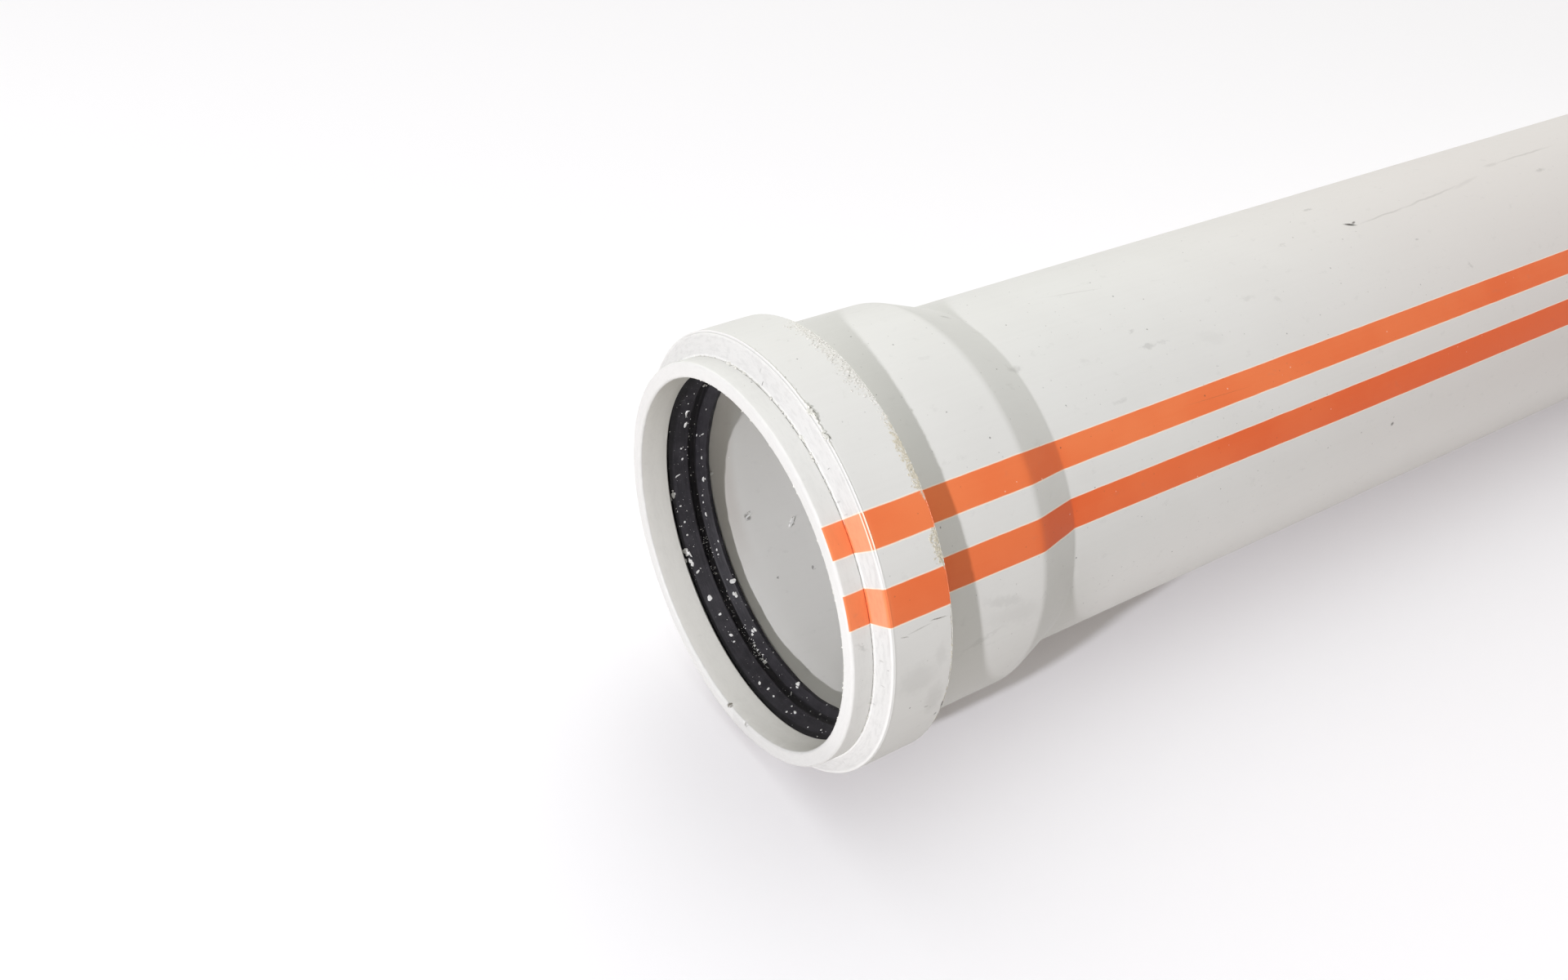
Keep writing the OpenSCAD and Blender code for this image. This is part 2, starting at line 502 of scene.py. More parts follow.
# %% Crumbs on the rubber
random = np.random.default_rng(31)
FIBRES = 20
LINT = 70
DUST = 330
LONGER = 1.15
WIDER = 1.25
clusters = np.array([
    # station, angle, crumbs, spread along, spread round in degrees
    (8.0, -121.3, 8, 0.34, 0.75), (7.6, -125.6, 7, 0.3, 0.8), (14.5, -142.0, 5, 0.26, 0.5),
    (14.4, -155.9, 5, 0.26, 0.5), (13.1, -166.6, 4, 0.2, 0.8), (13.6, -59.0, 3, 0.2, 0.4),
    (9.1, -139.2, 2, 0.15, 0.3), (15.0, -137.3, 2, 0.15, 0.3), (14.7, -99.4, 2, 0.12, 0.25),
    (7.7, -102.1, 6, 0.14, 1.3), (17.1, -99.3, 2, 0.1, 0.25), (14.6, 176.7, 3, 0.25, 0.6),
])
singles = np.array([
    # station, angle, length, width, curl, spin
    (15.0, -137.3, 1.1, 0.8, 0.05, 20), (9.1, -139.2, 1.0, 0.8, 0.05, 60), (14.7, -99.4, 1.1, 0.7, 0.03, 80),
    (10.3, -69.1, 1.5, 0.3, 0.3, 70), (8.7, -129.6, 0.9, 0.4, 0.1, 30), (14.1, -112.4, 0.9, 0.35, 0.1, 100),
    (9.6, -145.6, 0.8, 0.4, 0.08, 10), (9.6, -153.7, 0.8, 0.45, 0.08, 140),
    (9.1, -173.9, 0.9, 0.4, 0.08, 60), (9.7, -177.8, 0.8, 0.35, 0.12, 20), (10.0, 167.0, 0.9, 0.4, 0.1, 80),
    (10.5, -75.1, 1.3, 0.4, 0.06, 75), (14.8, -68.8, 1.1, 0.25, 0.28, 30),
    (15.0, -80.5, 1.7, 0.16, 0.04, 12), (14.4, -81.6, 1.0, 0.16, 0.06, 70),
    (8.3, -123.2, 1.3, 0.22, 0.3, 100), (14.7, -90.8, 1.0, 0.45, 0.06, 75), (9.0, -95.6, 1.1, 0.18, 0.2, 20),
    (13.2, 176.9, 1.2, 0.16, 0.06, 50), (8.9, -116.8, 0.5, 0.3, 0.05, 0), (9.0, -112.3, 0.5, 0.3, 0.05, 40),
    (14.9, -122.4, 0.5, 0.3, 0.1, 90), (14.3, -125.1, 0.6, 0.3, 0.1, 60), (14.3, -126.8, 0.5, 0.3, 0.1, 10),
    (9.5, -156.2, 0.5, 0.3, 0.05, 0), (13.3, -160.3, 0.6, 0.3, 0.1, 50), (9.5, 178.6, 0.5, 0.3, 0.1, 80),
    (9.1, 169.9, 0.5, 0.3, 0.1, 20), (9.6, 150.5, 0.5, 0.3, 0.1, 30), (8.1, 149.6, 0.5, 0.25, 0.1, 70),
    (13.7, 161.0, 0.6, 0.3, 0.1, 0), (13.9, -82.2, 0.8, 0.14, 0.1, 70), (14.7, -87.6, 0.5, 0.3, 0.1, 40),
    (10.2, -89.5, 0.5, 0.3, 0.1, 60), (14.2, -105.5, 0.5, 0.3, 0.1, 0), (14.1, -108.0, 0.5, 0.25, 0.1, 50),
    (7.4, -103.5, 1.0, 0.14, 0.1, 85), (8.8, -106.6, 0.5, 0.3, 0.1, 10), (10.0, -85.3, 0.4, 0.3, 0.1, 0),
    (14.8, -94.3, 0.5, 0.3, 0.1, 30),
])


def ring_radius(at_station):
    """Radius of the rubber's open face at a station, read from its section."""
    face = ring_points[(ring_corner >= 2) & (ring_corner <= 7)]
    face = face[np.argsort(face[:, 0])]
    return np.interp(at_station, face[:, 0], face[:, 1])


def strands(station, angle, length, width):
    """Rows like those of singles, their curl slight and their spin free."""
    ranges = (length, width, (0.0, 0.3), (0, 360))
    return np.stack([station, angle, *(random.uniform(*ends, len(station)) for ends in ranges)], axis=1)


singles = np.concatenate([
    singles,
    strands(random.normal(13.1, 0.35, FIBRES), random.normal(-162.5, 3.5, FIBRES),
            (0.4, 0.9), (0.04, 0.09)),
    strands(random.normal(12.6, 0.5, LINT), random.uniform(-166, -116, LINT),
            (0.12, 0.42), (0.05, 0.14)),
])
picked = np.repeat(clusters, clusters[:, 2].astype(int), axis=0)
heaps = len(picked)
heap_length = random.uniform(0.45, 0.95, heaps)
dust_length = random.gamma(1.8, 0.055, DUST) + 0.06
heaps_and_dust = [
    (picked[:, 0] + random.normal(0, 1, heaps) * picked[:, 3],
     random.uniform(ring_front + 0.2, lip_at, DUST)),
    (picked[:, 1] + random.normal(0, 1, heaps) * picked[:, 4], random.uniform(-180, 180, DUST)),
    (heap_length, dust_length),
    (heap_length * random.uniform(0.5, 0.8, heaps), dust_length * random.uniform(0.4, 0.8, DUST)),
    (random.uniform(0, 0.2, heaps), random.uniform(0, 0.1, DUST)),
    (random.uniform(0, 360, heaps), random.uniform(0, 360, DUST)),
]
crumb_station, crumb_angle, crumb_length, crumb_width, crumb_curl, crumb_spin = (
    np.concatenate([heap, singles[:, i], dust]) for i, (heap, dust) in enumerate(heaps_and_dust))
seal_crumbs = flakes(
    "seal_crumbs", crumb_station, ring_radius(crumb_station), crumb_angle, LONGER * crumb_length,
    WIDER * crumb_width, 0.08 + 0.16 * np.minimum(crumb_length, 1.0), crumb_curl, crumb_spin, inwards=True)

# %% [markdown]
# A few shavings and specks have fallen past the ring. They are the same flakes, on the
# bore of the sleeve and, past station 42, of the taper.

# %% Crumbs in the sleeve
random = np.random.default_rng(32)
LOOSE = 40
TAPER_BORE = 37.0
sleeve_marks = np.array([
    # station, angle, length, spin
    (24.3, -118.3, 1.5, 20), (24.9, -117.6, 1.0, 150), (34.4, -125.4, 2.6, 45), (34.9, -125.0, 1.3, 95),
    (23.7, -119.0, 0.5, 80), (26.2, -141.1, 0.3, 0), (22.0, -96.0, 0.4, 40), (30.0, -103.0, 0.3, 10),
])
loose = [np.concatenate([column, random.uniform(*ends, LOOSE)])
         for column, ends in zip(sleeve_marks.T, [(18, 50), (-180, 180), (0.12, 0.3), (0, 360)])]
loose_station, loose_angle, loose_length, loose_spin = loose
sleeve_crumbs = flakes(
    "sleeve_crumbs", loose_station, np.where(loose_station < 42, sleeve_bore_r, TAPER_BORE), loose_angle,
    loose_length, 0.24 * loose_length + 0.07, 0.05 + 0.10 * loose_length, 0.10, loose_spin, inwards=True)

# %% [markdown]
# Flash is the thin fringe that a worn mould or a blunt saw leaves on an edge, and a
# burr is a stretch of it that stands high. Both are a ribbon along the edge, with a
# wedge for its section. Its height is the ripple function, cut off at zero.

# %% Flash along the edges
FLASH_STEP = 0.12
FLASH_ROOT = 0.06
FLASH_HALF = 0.04


def flash(name, at_station, at_radius, direction, low, high, height, seed, waves, rarity):
    """A ragged fringe along an edge from angle low to angle high.

    Its height is height times the part of a ripple above rarity, and it stands along
    direction, as (along, outwards). Its section is a thin wedge, sunk into the wall.
    """
    turn = np.arange(low, high, FLASH_STEP)
    wave = ripple(turn, 0.0, seed, waves, 1.0, 40) + 0.4 * ripple(turn, 0.0, seed + 1, (6, 30), 1.0, 6)
    tall = height * np.clip(wave - rarity, 0, 1.6) * between(turn, low + 2, high - 2, 0.8)
    way = unit(direction)
    half = FLASH_HALF * np.array([-way[1], way[0]])
    tip = way * tall[:, None] + 0.3 * half * np.sin(7 * turn)[:, None]
    foot = np.broadcast_to(-FLASH_ROOT * way, tip.shape)
    section = np.stack([foot - half, tip - 0.4 * half, tip + 0.4 * half, foot + half], 1)
    points = place(at_station + section[..., 0], at_radius + section[..., 1], turn[:, None])
    return build_mesh(name, points.reshape(-1, 3), ribbon_quads(len(turn)), sharp=30.0)


brow = shoulder_at(housing_r)
FINE, COARSE = (40, 500), (60, 420)
fringes = [flash(*row) for row in [
    # name, station, radius, direction, from angle, to angle, height, seed, waves, rarity
    ("front_edge_flash", brow + 0.30, housing_r - 0.02, (0.3, 1.0), -5, 40, 0.30, 41, FINE, 0.9),
    ("front_burr_upper", brow + 0.28, housing_r - 0.03, (0.1, 1.0), 18, 27, 0.34, 61, COARSE, -0.5),
    ("front_burr_lower", brow + 0.22, housing_r - 0.03, (0.5, 1.0), 25, 32, 0.34, 63, COARSE, -0.5),
    ("crease_burr", neck_length + 0.05, neck_r - 0.02, (-0.5, 1.0), 20.5, 26.5, 0.45, 65, COARSE, 0.1),
    ("crease_flash", neck_length + 0.02, neck_r - 0.02, (-0.7, 1.0), -12, 48, 0.30, 43, FINE, 0.85),
    ("rear_edge_flash", housing_rear - 0.10, housing_r - 0.04, (0.3, 1.0), -12, 112, 0.03, 45, FINE, 0.4),
    ("rim_flash", 0.08, mouth_r + 0.25, (-0.6, -0.6), -20, 110, 0.18, 47, FINE, 0.7),
]]

# %% [markdown]
# Grit is stuck along the housing's rear edge, thickest near the top and between the
# stripes. The grains are the same flakes, nearly as wide as they are long. Torn chips
# sit behind the front edge and in the foot of the shoulder.

# %% Grit along the housing's rear edge
random = np.random.default_rng(51)
stretches = [
    # from angle, to angle, grains, how far the band reaches before the edge
    (-10, 24, 180, 2.2), (24, 36, 60, 1.0), (35, 47, 170, 1.2), (55.8, 63.8, 110, 1.2), (74.5, 112, 26, 0.3),
]
grit_angle = np.concatenate([random.uniform(low, high, n) for low, high, n, _ in stretches])
reach = np.concatenate([random.beta(1.3, 2.6, n) * wide * 1.6 for _, _, n, wide in stretches])
grains = len(grit_angle)
grain_size = random.gamma(3.0, 0.06, grains) + 0.12
edge_grit = flakes(
    "edge_grit", housing_rear - 0.08 - reach, housing_r - 0.05, grit_angle, grain_size,
    grain_size * random.uniform(0.5, 0.9, grains), 0.05 + 0.16 * grain_size, 0.0,
    random.normal(90, 35, grains), inwards=False)

# %% Chips on the front edge and in the foot of the shoulder
# Angle, spread and count: two heaps of lumps on the edge and one in the crease
lump_groups = [(22.3, 1.0, 8), (28.6, 0.7, 8), (24.0, 0.5, 3)]
lump_angle = np.concatenate([random.normal(at, spread, n) for at, spread, n in lump_groups])
lumps = len(lump_angle)
on_edge = np.arange(lumps) < 16
lump_station = np.where(on_edge, brow + random.uniform(-0.1, 0.6, lumps), neck_length)
lump_size = random.uniform(0.55, 0.95, lumps)
front_lumps = flakes(
    "front_lumps", lump_station, np.where(on_edge, housing_r - 0.06, neck_r), lump_angle, lump_size,
    0.6 * lump_size, 0.12 + 0.22 * lump_size, random.uniform(0, 0.12, lumps),
    random.uniform(0, 360, lumps), inwards=False)
chip_angle = np.concatenate([random.uniform(-42, 40, 72), random.uniform(76, 112, 18)])
chips = len(chip_angle)
chip_size = random.gamma(2.5, 0.10, chips) + 0.12
crease_chips = flakes(
    "crease_chips", neck_length - 0.05 + random.normal(0, 0.16, chips), neck_r - 0.02, chip_angle, chip_size,
    chip_size * random.uniform(0.4, 0.7, chips), 0.06 + 0.25 * chip_size, random.uniform(0, 0.15, chips),
    random.uniform(0, 360, chips), inwards=False)

# %% [markdown]
# ## Arithmetic on shader sockets
#
# A finish is a formula: grey, except where an angle lies between two others, and a
# little darker where a distance is small. So a small class wraps a socket, and each
# operator on it adds the Math node that does the sum.

# %% Values


class Value:
    """A shader socket that can be used in sums; every operator adds one Math node."""

    def __init__(self, finish, socket):
        self.finish, self.socket = finish, socket

    def math(self, operation, *values):
        """The Math node of an operation."""
        return self.finish.add("ShaderNodeMath", {"operation": operation}, dict(enumerate(values)))

    def __add__(self, other):
        return self.math("ADD", self, other)

    def __sub__(self, other):
        return self.math("SUBTRACT", self, other)

    def __rsub__(self, other):
        return self.math("SUBTRACT", other, self)

    def __mul__(self, other):
        return self.math("MULTIPLY", self, other)

    def __truediv__(self, other):
        return self.math("DIVIDE", self, other)

    def __rtruediv__(self, other):
        return self.math("DIVIDE", other, self)

    def __pow__(self, other):
        return self.math("POWER", self, other)

    def __or__(self, other):
        return self.math("MAXIMUM", self, other)

    __radd__ = __add__
    __rmul__ = __mul__
    __ror__ = __or__

    def other(self, name):
        """Another output of the same node."""
        return Value(self.finish, self.socket.node.outputs[name])

    def rise(self, low, high):
        """0 below low, 1 above high and a smooth step between; low may be the larger."""
        return self.finish.add("ShaderNodeMapRange", {"interpolation_type": "SMOOTHSTEP"},
                               {"Value": self, "From Min": low, "From Max": high})

    def ramp(self, low, high, first, last):
        """A straight line from first at low to last at high, and level beyond them."""
        return self.finish.add("ShaderNodeMapRange", None, {
            "Value": self, "From Min": low, "From Max": high, "To Min": first, "To Max": last})


# %% [markdown]
# One method, add, makes every node. A finish is a tree of nodes with one Principled
# shader at its end, and starts from the piece's own place on the pipe.

# %% Trees of nodes and finishes


class Nodes:
    """A tree of shader nodes that is filled by formula."""

    def __init__(self, tree):
        self.tree = tree

    def add(self, kind, settings=None, inputs=None, output=0):
        """Adds one node, sets its settings, then its sockets' values or links, and returns an output."""
        node = self.tree.nodes.new(kind)
        for key, value in (settings or {}).items():
            setattr(node, key, value)
        for key, value in (inputs or {}).items():
            if isinstance(value, Value):
                self.tree.links.new(value.socket, node.inputs[key])
            else:
                node.inputs[key].default_value = value
        return Value(self, node.outputs[output])

    def blend(self, factor, first, second):
        """A colour between two others, by a factor from 0 to 1."""
        return self.add("ShaderNodeMix", {"data_type": "RGBA"}, {0: factor, 6: first, 7: second}, output=2)

    def vector(self, operation, *values, output=0):
        """Vector Math on up to three vectors."""
        return self.add("ShaderNodeVectorMath", {"operation": operation}, dict(enumerate(values)), output)

    def noise(self, where, scale, detail=3.0, roughness=0.5):
        """Fractal noise from 0 to 1 around 0.5."""
        return self.add("ShaderNodeTexNoise", None,
                        {"Vector": where, "Scale": scale, "Detail": detail, "Roughness": roughness})

    def local(self, where, centre, degrees, scale):
        """Coordinates as they are seen from a frame with this centre, turn and scale."""
        return self.add("ShaderNodeMapping", {"vector_type": "TEXTURE"}, {
            "Vector": where, "Location": centre, "Rotation": np.radians(degrees), "Scale": scale})

    def plain_rays(self):
        """1 for camera, glossy and see-through rays, and 0 for the rays that carry light."""
        seen = self.add("ShaderNodeLightPath")
        return seen | seen.other("Is Glossy Ray") | seen.other("Is Transmission Ray")


class Finish(Nodes):
    """A material with one Principled shader, whose constants are set by name."""

    def __init__(self, name, **constants):
        self.material = bpy.data.materials.new(name)
        self.material.use_nodes = True
        super().__init__(self.material.node_tree)
        self.shader = self.tree.nodes["Principled BSDF"]
        for socket, value in constants.items():
            self.shader.inputs[socket.replace("_", " ")].default_value = value

    def feed(self, **values):
        """Links values to the Principled shader's sockets."""
        for socket, value in values.items():
            self.tree.links.new(value.socket, self.shader.inputs[socket.replace("_", " ")])
        print(self.material.name, "has", len(self.tree.nodes), "nodes")

    def pipe_places(self):
        """The piece's own place on the pipe, in millimetres and degrees.

        A Mapping node moves the Object coordinates to the mouth and turns them to the
        leaning centre line. Station is then x, and the angle is the arctangent of the
        other two. The radius is their length, once the sag of the neck is added back.
        """
        own = self.local(self.add("ShaderNodeTexCoord", output=3), mouth, (0, lean, 0), (MM, MM, MM))
        station = self.add("ShaderNodeSeparateXYZ", None, {0: own})
        side, up = station.other("Y"), station.other("Z")
        slim = ((side * side + up * up) ** 0.5).ramp(*sag_radii, 1.0, SAG_AT_HOUSING)
        turn = side.math("ARCTAN2", side * -1.0, up) * math.degrees(1)
        up = up + station.ramp(*sag_stations, SAG, 0.0) * slim
        return own, station, turn, (side * side + up * up) ** 0.5


def colour(red, green, blue):
    """A linear colour from the usual 0 to 255 display values."""
    shown = np.array([red, green, blue]) / 255
    return (*np.where(shown <= 0.04045, shown / 12.92, ((shown + 0.055) / 1.055) ** 2.4), 1.0)


# %% [markdown]
# ## PVC with two stripes
#
# The grey of the pipe goes right through its wall, and the stripes are a skin of
# orange plastic extruded with it. So the stripes are the places where the angle round
# the pipe lies between two values, over its whole length, on the outside only, which
# the mesh marks with an attribute. Each stripe has a thin pale border, where the
# orange thins out over the grey.
#
# Extrusion leaves faint streaks along the pipe. Painted shade makes the grey a little
# darker and warmer along the barrel; painted light makes it paler underneath and inside.

# %% Stripes of the wall
pvc = Finish("pvc_grey", Specular_IOR_Level=0.22)
own, station, turn, radius = pvc.pipe_places()
arc = turn * (math.pi / 180 * barrel_r)
unrolled = pvc.add("ShaderNodeCombineXYZ", None, {0: station, 1: arc})
outer = pvc.add("ShaderNodeAttribute", {"attribute_name": "outer_skin"}, output=2).rise(0.35, 0.65)
stripe_edges = [(47.4, 55.8, 0.0), (64.7, 73.7, 0.6)]
EDGE = 0.16
HALO = 0.24


def span(value, low, high, soft):
    """1 where a value lies between low and high, with soft ends."""
    return value.rise(low - soft, low + soft) * value.rise(high + soft, high - soft)


def stripe_band(turn, station, grow, soft):
    """1 where the angle lies within either stripe, widened by grow degrees on each side.

    A stripe's far edge may flare by a few tenths of a degree along the barrel.
    """
    bands = []
    for low, high, flare in stripe_edges:
        far = turn - station.rise(40, 160) * flare
        near_edge = turn.rise(low - grow - soft, low - grow + soft)
        bands.append(near_edge * far.rise(high + grow + soft, high + grow - soft))
    return bands[0] | bands[1]


waver = (pvc.noise(own, 0.25, 1.0) - 0.5) * 0.2
orange_mask = stripe_band(turn + waver, station, 0.0, EDGE) * outer
halo_mask = stripe_band(turn + waver, station, HALO, EDGE * 1.2) * outer
print("stripes between", [(low, high) for low, high, _ in stripe_edges], "degrees")

# %% Colours of the wall
GREY = colour(225, 225, 222)
GREY_DEEP = colour(209, 208, 204)
GREY_FAR_SHADED = colour(218, 212, 208)
GREY_UNDER_LIT = colour(242, 241, 239)
GREY_INSIDE_LIT = colour(231, 230, 224)
CREAM = colour(250, 240, 222)
ORANGE = colour(240, 130, 79)
ORANGE_DEEP = colour(230, 102, 52)
ORANGE_NECK_LIT = colour(246, 148, 100)

streaks = pvc.noise(pvc.vector("MULTIPLY", own, (0.012, 1.0, 1.0)), 1.1, 2.0)
clouds = pvc.noise(own, 0.05, 3.0)
tone = (streaks - 0.5) * 0.06 + (clouds - 0.5) * 0.16
# Painted shade: towards the plain end the grey grows darker and warmer, and the orange deeper.
far = station.rise(60, 220)
# Painted light: the barrel's lower side is paler, as if lit from the floor.
underside_painted_light = span(turn, 92, 150, 14) * station.rise(56, 70)
# Painted light: the inside is paler, most of all on the mouth's wall.
inside_painted_light = (1 - outer) * station.rise(0.3, 0.9) * (station.rise(9.0, 7.0) * 0.65 + 0.35)
grey = pvc.blend((tone + 0.12).rise(0.0, 0.42), GREY, GREY_DEEP)
grey = pvc.blend(far * 0.75, grey, GREY_FAR_SHADED)
grey = pvc.blend(underside_painted_light * 0.5, grey, GREY_UNDER_LIT)
grey = pvc.blend(inside_painted_light, grey, GREY_INSIDE_LIT)

cloudy = (clouds * 0.9 + streaks * 0.1).rise(0.35, 0.75)
# Painted shade deepens the orange on the lower stripe, on the taper and towards the plain end; the clouds
# are its own uneven tone.
lower_stripe_shade = turn.rise(58, 64) * (station.rise(40, 52) * 0.3 + 0.25)
depth = cloudy * 0.4 + far * 0.45 + lower_stripe_shade + span(station, 43, 54, 3) * 0.45
orange = pvc.blend(depth, ORANGE, ORANGE_DEEP)
# Painted light: the orange is paler on the neck and the shoulder.
orange = pvc.blend(station.rise(7.2, 5.2) * 0.5, orange, ORANGE_NECK_LIT)
skin_colour = pvc.blend(orange_mask, pvc.blend(halo_mask, grey, CREAM), orange)

# %% [markdown]
# Handling leaves grey smudges, dark nicks, thin scratches, and long wandering drags, and beside the burrs
# lie their painted shadows.
# Each is a soft ellipse on the unrolled surface: a station, an angle, half a length
# along the pipe, half a width round it, a tilt and a strength. A Mapping node makes
# the mark a circle of radius one, and noise on the coordinates frays its outline.

# %% Smudges, nicks, painted burr shadows and scratches


def frayed(finish, where, scale, reach):
    """Coordinates pushed about by noise, at most reach millimetres either way, which frays an outline."""
    push = finish.noise(where, scale, 2.0).other("Color")
    centred = finish.vector("SUBTRACT", push, (0.5, 0.5, 0.5))
    return finish.vector("MULTIPLY_ADD", centred, (2 * reach, 2 * reach, 0.0), where)


def marks(finish, where, rows):
    """The strongest of soft ellipses, each (station, angle, half length, half width, tilt, strength)."""
    total = None
    for at, degrees, length, width, tilt, strength in rows:
        centre = (at, math.radians(degrees) * barrel_r, 0)
        local = finish.local(where, centre, (0, 0, tilt), (length, width, 1))
        mark = finish.vector("LENGTH", local, output=1).rise(1.0, 0.25) * strength
        total = mark if total is None else total | mark
    return total


soft_places = frayed(pvc, unrolled, 0.9, 1.2)
crisp = frayed(pvc, unrolled, 2.5, 0.12)
smudges = marks(pvc, soft_places, [
    (85.3, 30.2, 2.2, 0.9, 8, 0.22), (89.0, 30.3, 2.6, 0.5, 4, 0.12), (83.8, 23.7, 1.0, 0.5, 0, 0.2),
    (72.1, 43.1, 2.4, 0.7, 0, 0.14), (100.9, 34.1, 5.0, 2.2, 20, 0.05), (116.3, 25.6, 2.4, 0.8, 0, 0.11),
    (137.6, 9.6, 1.4, 0.6, 0, 0.16), (123.3, 29.6, 1.3, 0.8, 40, 0.12), (183.0, 40.7, 0.6, 1.2, 0, 0.22),
    (230.3, 13.0, 2.6, 0.8, 0, 0.26), (157.8, -5.2, 2.0, 0.7, 5, 0.26), (50.7, -4.0, 1.5, 1.0, 0, 0.3),
    (53.6, 23.2, 2.4, 1.0, 10, 0.22), (33.5, 83.0, 7.0, 1.6, 18, 0.13), (36.0, 88.0, 9.0, 3.0, 10, 0.09),
    (11.0, 90.0, 6.0, 4.0, 0, 0.12), (15.5, 99.0, 2.6, 5.0, 0, 0.14), (16.0, 86.0, 2.0, 3.0, 0, 0.1),
    (2.2, 79.2, 1.8, 0.5, 40, 0.2), (29.0, 92.0, 8.0, 0.7, -12, 0.1),
])
# Nicks and specks, and at stations 4.2 to 6.65 and angles 21 to 30 painted shadows of the burrs on the front
# edge and in the crease.
nicks_and_burr_shadows = marks(pvc, crisp, [
    (160.0, 10.1, 2.1, 0.62, 28, 1.0), (161.6, 9.7, 1.1, 0.4, -20, 0.8), (148.1, 84.2, 0.7, 0.6, 0, 0.75),
    (172.7, 25.1, 0.8, 0.4, 0, 0.25), (18.3, 103.0, 0.45, 1.2, 0, 0.85), (17.4, 106.5, 0.4, 0.5, 20, 0.5),
    (14.2, 101.0, 0.7, 0.25, 10, 0.35), (6.65, 22.0, 0.16, 1.2, -12, 0.75), (6.6, 24.6, 0.13, 0.5, 10, 0.6),
    (6.55, 29.4, 0.16, 0.8, -15, 0.75), (4.45, 24.3, 0.14, 0.4, 0, 0.8), (4.2, 21.2, 0.2, 0.25, 0, 0.6),
    (6.4, 11.0, 0.15, 0.25, 0, 0.6), (3.9, 2.0, 0.25, 0.3, 0, 0.5), (4.0, -9.0, 0.2, 0.35, 0, 0.55),
])
drags = marks(pvc, frayed(pvc, unrolled, 0.22, 0.5), [
    (172.0, 10.6, 12.0, 0.4, -2, 0.2), (190.0, 9.0, 17.0, 0.45, -5, 0.19), (205.0, 7.4, 8.0, 0.8, -8, 0.1),
    (234.0, 1.8, 15.0, 0.5, 0, 0.2), (220.5, 1.9, 3.5, 1.0, 0, 0.14),
])
scratches = marks(pvc, crisp, [
    (81.0, 1.0, 9.0, 0.3, 12, 0.12), (96.0, 52.0, 12.0, 0.1, 3, 0.2), (8.3, 77.1, 1.1, 0.14, 12, 0.45),
    (15.6, 76.0, 2.3, 0.12, 5, 0.85), (11.5, 76.6, 3.4, 0.13, -3, 0.3),
])
inside_marks = marks(pvc, soft_places, [
    (24.3, -118.3, 1.3, 1.1, 30, 0.75), (34.7, -125.2, 1.4, 0.45, 45, 0.8), (26.2, -141.1, 0.3, 0.3, 0, 0.7),
    (35.3, -143.1, 0.3, 0.3, 0, 0.7),
]) * (1 - outer)

# %% [markdown]
# Specks are a flat Voronoi pattern on the unrolled surface: each cell has one point
# and one random colour, which decides whether the cell has a speck at its point and
# how large it is, so sizes differ as they do in real dirt.

# %% Specks


def specks(finish, where, cell, size, share):
    """Dots of about size millimetres in a share of the cells, which are cell millimetres wide."""
    points = finish.add("ShaderNodeTexVoronoi", {"voronoi_dimensions": "2D"},
                        {"Vector": where, "Scale": 1 / cell})
    drawn = finish.add("ShaderNodeSeparateColor", None, {0: points.other("Color")})
    reach = points * cell / (drawn.other("Green") * size + 0.35 * size)
    return reach.rise(1.0, 0.55) * drawn.rise(1 - share, 1 - share + 0.02)


dark_specks = specks(pvc, crisp, 5.5, 0.17, 0.18) * 0.60 * outer
faint_specks = specks(pvc, crisp, 2.6, 0.15, 0.22) * 0.22 * outer
white_specks = specks(pvc, crisp, 3.1, 0.16, 0.14) * orange_mask * station.rise(7.0, 7.2)
white_specks = white_specks * (0.75 - far * 0.6)
stain_places = pvc.vector("MULTIPLY", unrolled, (0.7, 1.0, 1.0))
stains = pvc.noise(stain_places, 0.34, 4.0, 0.65).rise(0.60, 0.72) * 0.07

# %% [markdown]
# Dirt gathers where edges catch it: a beige crust of grains along the rear edge of the
# housing, which lower down has a thin brown line, and dirt with painted shade in the foot of
# the shoulder. A warm band behind the ring is a painted shadow of its lip, and dark ticks
# across the rim's inner corner are painted shadows of tiny burrs.

# %% Dirt and painted shade along the edges
crust_reach = span(turn, -9, 22, 5) * 2.2 + span(turn, 30, 47, 5) * 1.1 + span(turn, 56, 64, 2) * 1.0 + 0.35
behind_edge = (housing_rear + 0.25 - station) / crust_reach
grain = pvc.noise(own, 1.3, 5.0, 0.65)
crust = (behind_edge * 0.55 + (0.5 - grain) * 2.2).rise(0.62, 0.30) * station.rise(19.2, 18.9) * outer
grains_differ = pvc.noise(own, 2.2, 3.0).rise(0.42, 0.62)
crust_colour = pvc.blend(grains_differ, colour(226, 225, 220), colour(204, 202, 195))
crust_colour = pvc.blend(turn.rise(26, 34) * 0.7, crust_colour, colour(203, 196, 174))
crust_dots = specks(pvc, crisp, 0.9, 0.16, 0.30) * crust

around = pvc.add("ShaderNodeCombineXYZ", None, {0: radius * 1.1, 1: arc * 0.3, 2: station * 1.1})
rear_line = span(station, housing_rear - 0.30, housing_rear + 0.03, 0.10) * span(turn, 74, 118, 6)
rear_line = rear_line * pvc.noise(around, 2.0, 3.0).rise(0.40, 0.58) * outer
# Dirt and painted shade: a dark line in the foot of the shoulder.
crease_noise = pvc.noise(own, 0.9, 4.0, 0.6).rise(0.36, 0.56)
crease = span(station, neck_length - 0.12, neck_length - 0.04, 0.04) * crease_noise
crease = crease * (span(turn, -14, 112, 8) * 0.75 + 0.2) * outer * radius.rise(neck_r + 0.4, neck_r + 0.1)
# Painted shadow of the ring's lip on the sleeve's bore, warm brown.
lip_painted_shadow = span(station, 16.8, 22.5, 1.5) * span(turn, -128, -62, 16) * (1 - outer)

